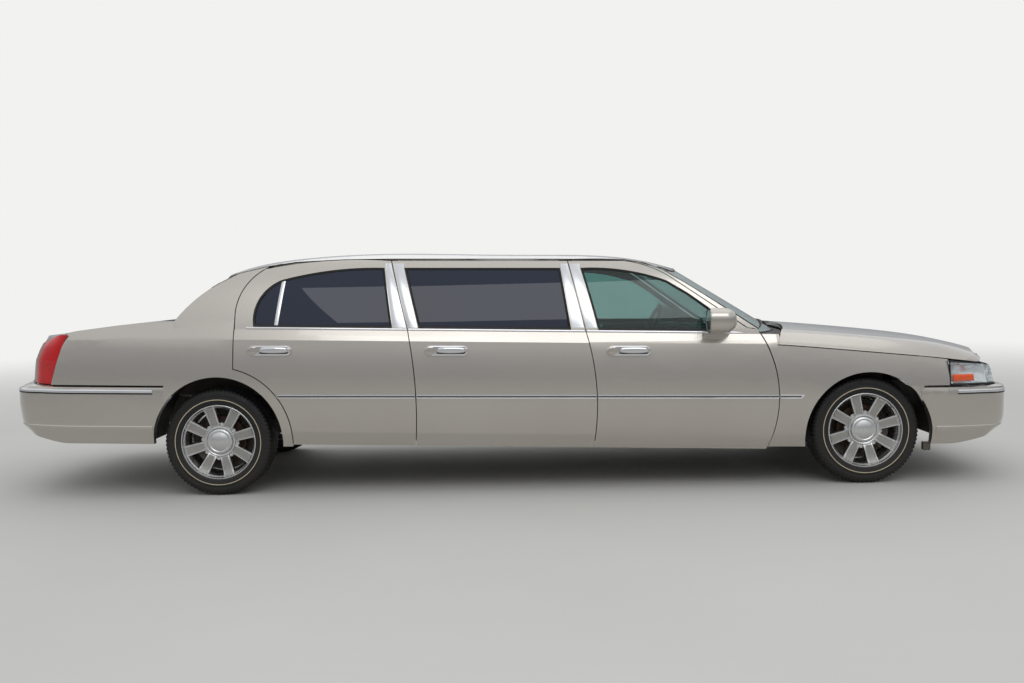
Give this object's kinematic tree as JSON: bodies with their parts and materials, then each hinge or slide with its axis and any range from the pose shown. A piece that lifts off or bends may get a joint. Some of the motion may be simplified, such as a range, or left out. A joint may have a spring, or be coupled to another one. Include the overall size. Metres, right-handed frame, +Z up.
{
  "type": "six-door stretched limousine",
  "caption": "Stretched limousine saloon with opening doors, hood and trunk lid, steered front wheels and rolling road wheels on a ladder frame.",
  "frame": {"origin": "on the ground under the middle of the car's bounding box", "axes": "+X to the front of the car, +Y to its left side, +Z up"},
  "size_m": [6.6677, 2.32, 1.5647],
  "materials": {
    "body_paint": "metallic silver champagne lacquer",
    "frame_black": "satin black chassis paint",
    "trim_black": "grained black plastic",
    "chrome": "bright plated",
    "glass_clear": "light green tinted glass",
    "glass_dark": "dark blue-black privacy glass",
    "lamp_clear": "clear moulded lamp lens",
    "lamp_red": "deep red ribbed lamp lens",
    "leather": "soft grey beige hide",
    "dash_plastic": "soft-touch plastic",
    "cast_metal": "bare castings",
    "steel": "bare steel tube",
    "alloy": "machined alloy, clear coated",
    "tyre": "black road tyre"
  },
  "bodies": {
    "body": {"chassis_frame": "frame_black", "floor_pan": "body_paint", "cabin_shell": "body_paint", "quarter_panels": "body_paint", "rear_shelf": "dash_plastic", "front_fenders": "body_paint", "wheel_liners": "trim_black", "front_bumper": "body_paint", "rear_bumper": "body_paint", "front_header": "trim_black", "grille": "chrome", "headlamps": "lamp_clear", "tail_lamps": "lamp_red", "windscreen": "glass_clear", "rear_window": "glass_dark", "dashboard": "dash_plastic", "front_seats": "leather", "middle_seat": "leather", "rear_seat": "leather", "engine_block": "cast_metal", "exhaust": "steel", "driveshaft": "steel", "fuel_tank": "frame_black", "rear_axle": "cast_metal", "front_suspension": "frame_black"},
    "hood": {"hood": "body_paint"},
    "trunk_lid": {"trunk_lid": "body_paint"},
    "door_front_left": {"door_front_left": "body_paint", "glass_front_left": "glass_clear"},
    "door_front_right": {"door_front_right": "body_paint", "glass_front_right": "glass_clear"},
    "door_middle_left": {"door_middle_left": "body_paint", "glass_middle_left": "glass_dark"},
    "door_middle_right": {"door_middle_right": "body_paint", "glass_middle_right": "glass_dark"},
    "door_rear_left": {"door_rear_left": "body_paint", "glass_rear_left": "glass_dark"},
    "door_rear_right": {"door_rear_right": "body_paint", "glass_rear_right": "glass_dark"},
    "knuckle_left": {"knuckle_left": "cast_metal"},
    "knuckle_right": {"knuckle_right": "cast_metal"},
    "steering_wheel": {"steering_wheel": "dash_plastic"},
    "wheel_front_left": {"rim_front_left": "alloy", "tyre_front_left": "tyre"},
    "wheel_front_right": {"rim_front_right": "alloy", "tyre_front_right": "tyre"},
    "wheel_rear_left": {"rim_rear_left": "alloy", "tyre_rear_left": "tyre"},
    "wheel_rear_right": {"rim_rear_right": "alloy", "tyre_rear_right": "tyre"}
  },
  "joints": [
    {"name": "hood_hinge", "type": "hinge", "parent": "body", "child": "hood", "pos_m": [1.69344, 0, 0.99591], "axis": [0, -1, 0], "range_deg": [0, 50]},
    {"name": "trunk_lid_hinge", "type": "hinge", "parent": "body", "child": "trunk_lid", "pos_m": [-2.35377, 0, 1.13143], "axis": [0, 1, 0], "range_deg": [0, 70]},
    {"name": "door_front_left_hinge", "type": "hinge", "parent": "body", "child": "door_front_left", "pos_m": [1.63682, 0.99, 0.63187], "axis": [-0.0182, 0, -0.9998], "range_deg": [0, 65]},
    {"name": "door_front_right_hinge", "type": "hinge", "parent": "body", "child": "door_front_right", "pos_m": [1.63682, -0.99, 0.63187], "axis": [0.0182, 0, 0.9998], "range_deg": [0, 65]},
    {"name": "door_middle_left_hinge", "type": "hinge", "parent": "body", "child": "door_middle_left", "pos_m": [0.49701, 0.99, 0.65258], "axis": [-0.0182, 0, -0.9998], "range_deg": [0, 65]},
    {"name": "door_middle_right_hinge", "type": "hinge", "parent": "body", "child": "door_middle_right", "pos_m": [0.49701, -0.99, 0.65258], "axis": [0.0182, 0, 0.9998], "range_deg": [0, 65]},
    {"name": "door_rear_left_hinge", "type": "hinge", "parent": "body", "child": "door_rear_left", "pos_m": [-0.6568, 0.99, 0.67354], "axis": [-0.0182, 0, -0.9998], "range_deg": [0, 65]},
    {"name": "door_rear_right_hinge", "type": "hinge", "parent": "body", "child": "door_rear_right", "pos_m": [-0.6568, -0.99, 0.67354], "axis": [0.0182, 0, 0.9998], "range_deg": [0, 65]},
    {"name": "knuckle_left_steer", "type": "hinge", "parent": "body", "child": "knuckle_left", "pos_m": [2.289, 0.71, 0.346], "axis": [0, 0, 1], "range_deg": [-35, 35]},
    {"name": "knuckle_right_steer", "type": "hinge", "parent": "body", "child": "knuckle_right", "pos_m": [2.289, -0.71, 0.346], "axis": [0, 0, 1], "range_deg": [-35, 35]},
    {"name": "steering_wheel_turn", "type": "hinge", "parent": "body", "child": "steering_wheel", "pos_m": [1.0789, 0.37, 0.97206], "axis": [-0.8985, 0, 0.439], "range_deg": [-560, 560]},
    {"name": "wheel_front_left_spin", "type": "hinge", "parent": "knuckle_left", "child": "wheel_front_left", "pos_m": [2.289, 0.805, 0.346], "axis": [0, 1, 0], "continuous": true},
    {"name": "wheel_front_right_spin", "type": "hinge", "parent": "knuckle_right", "child": "wheel_front_right", "pos_m": [2.289, -0.805, 0.346], "axis": [0, 1, 0], "continuous": true},
    {"name": "wheel_rear_left_spin", "type": "hinge", "parent": "body", "child": "wheel_rear_left", "pos_m": [-1.895, 0.82, 0.346], "axis": [0, 1, 0], "continuous": true},
    {"name": "wheel_rear_right_spin", "type": "hinge", "parent": "body", "child": "wheel_rear_right", "pos_m": [-1.895, -0.82, 0.346], "axis": [0, 1, 0], "continuous": true}
  ],
  "couplings": [
    {"joint": "knuckle_right_steer", "follows": "knuckle_left_steer", "ratio": 1},
    {"joint": "steering_wheel_turn", "follows": "knuckle_left_steer", "ratio": 16}
  ]
}
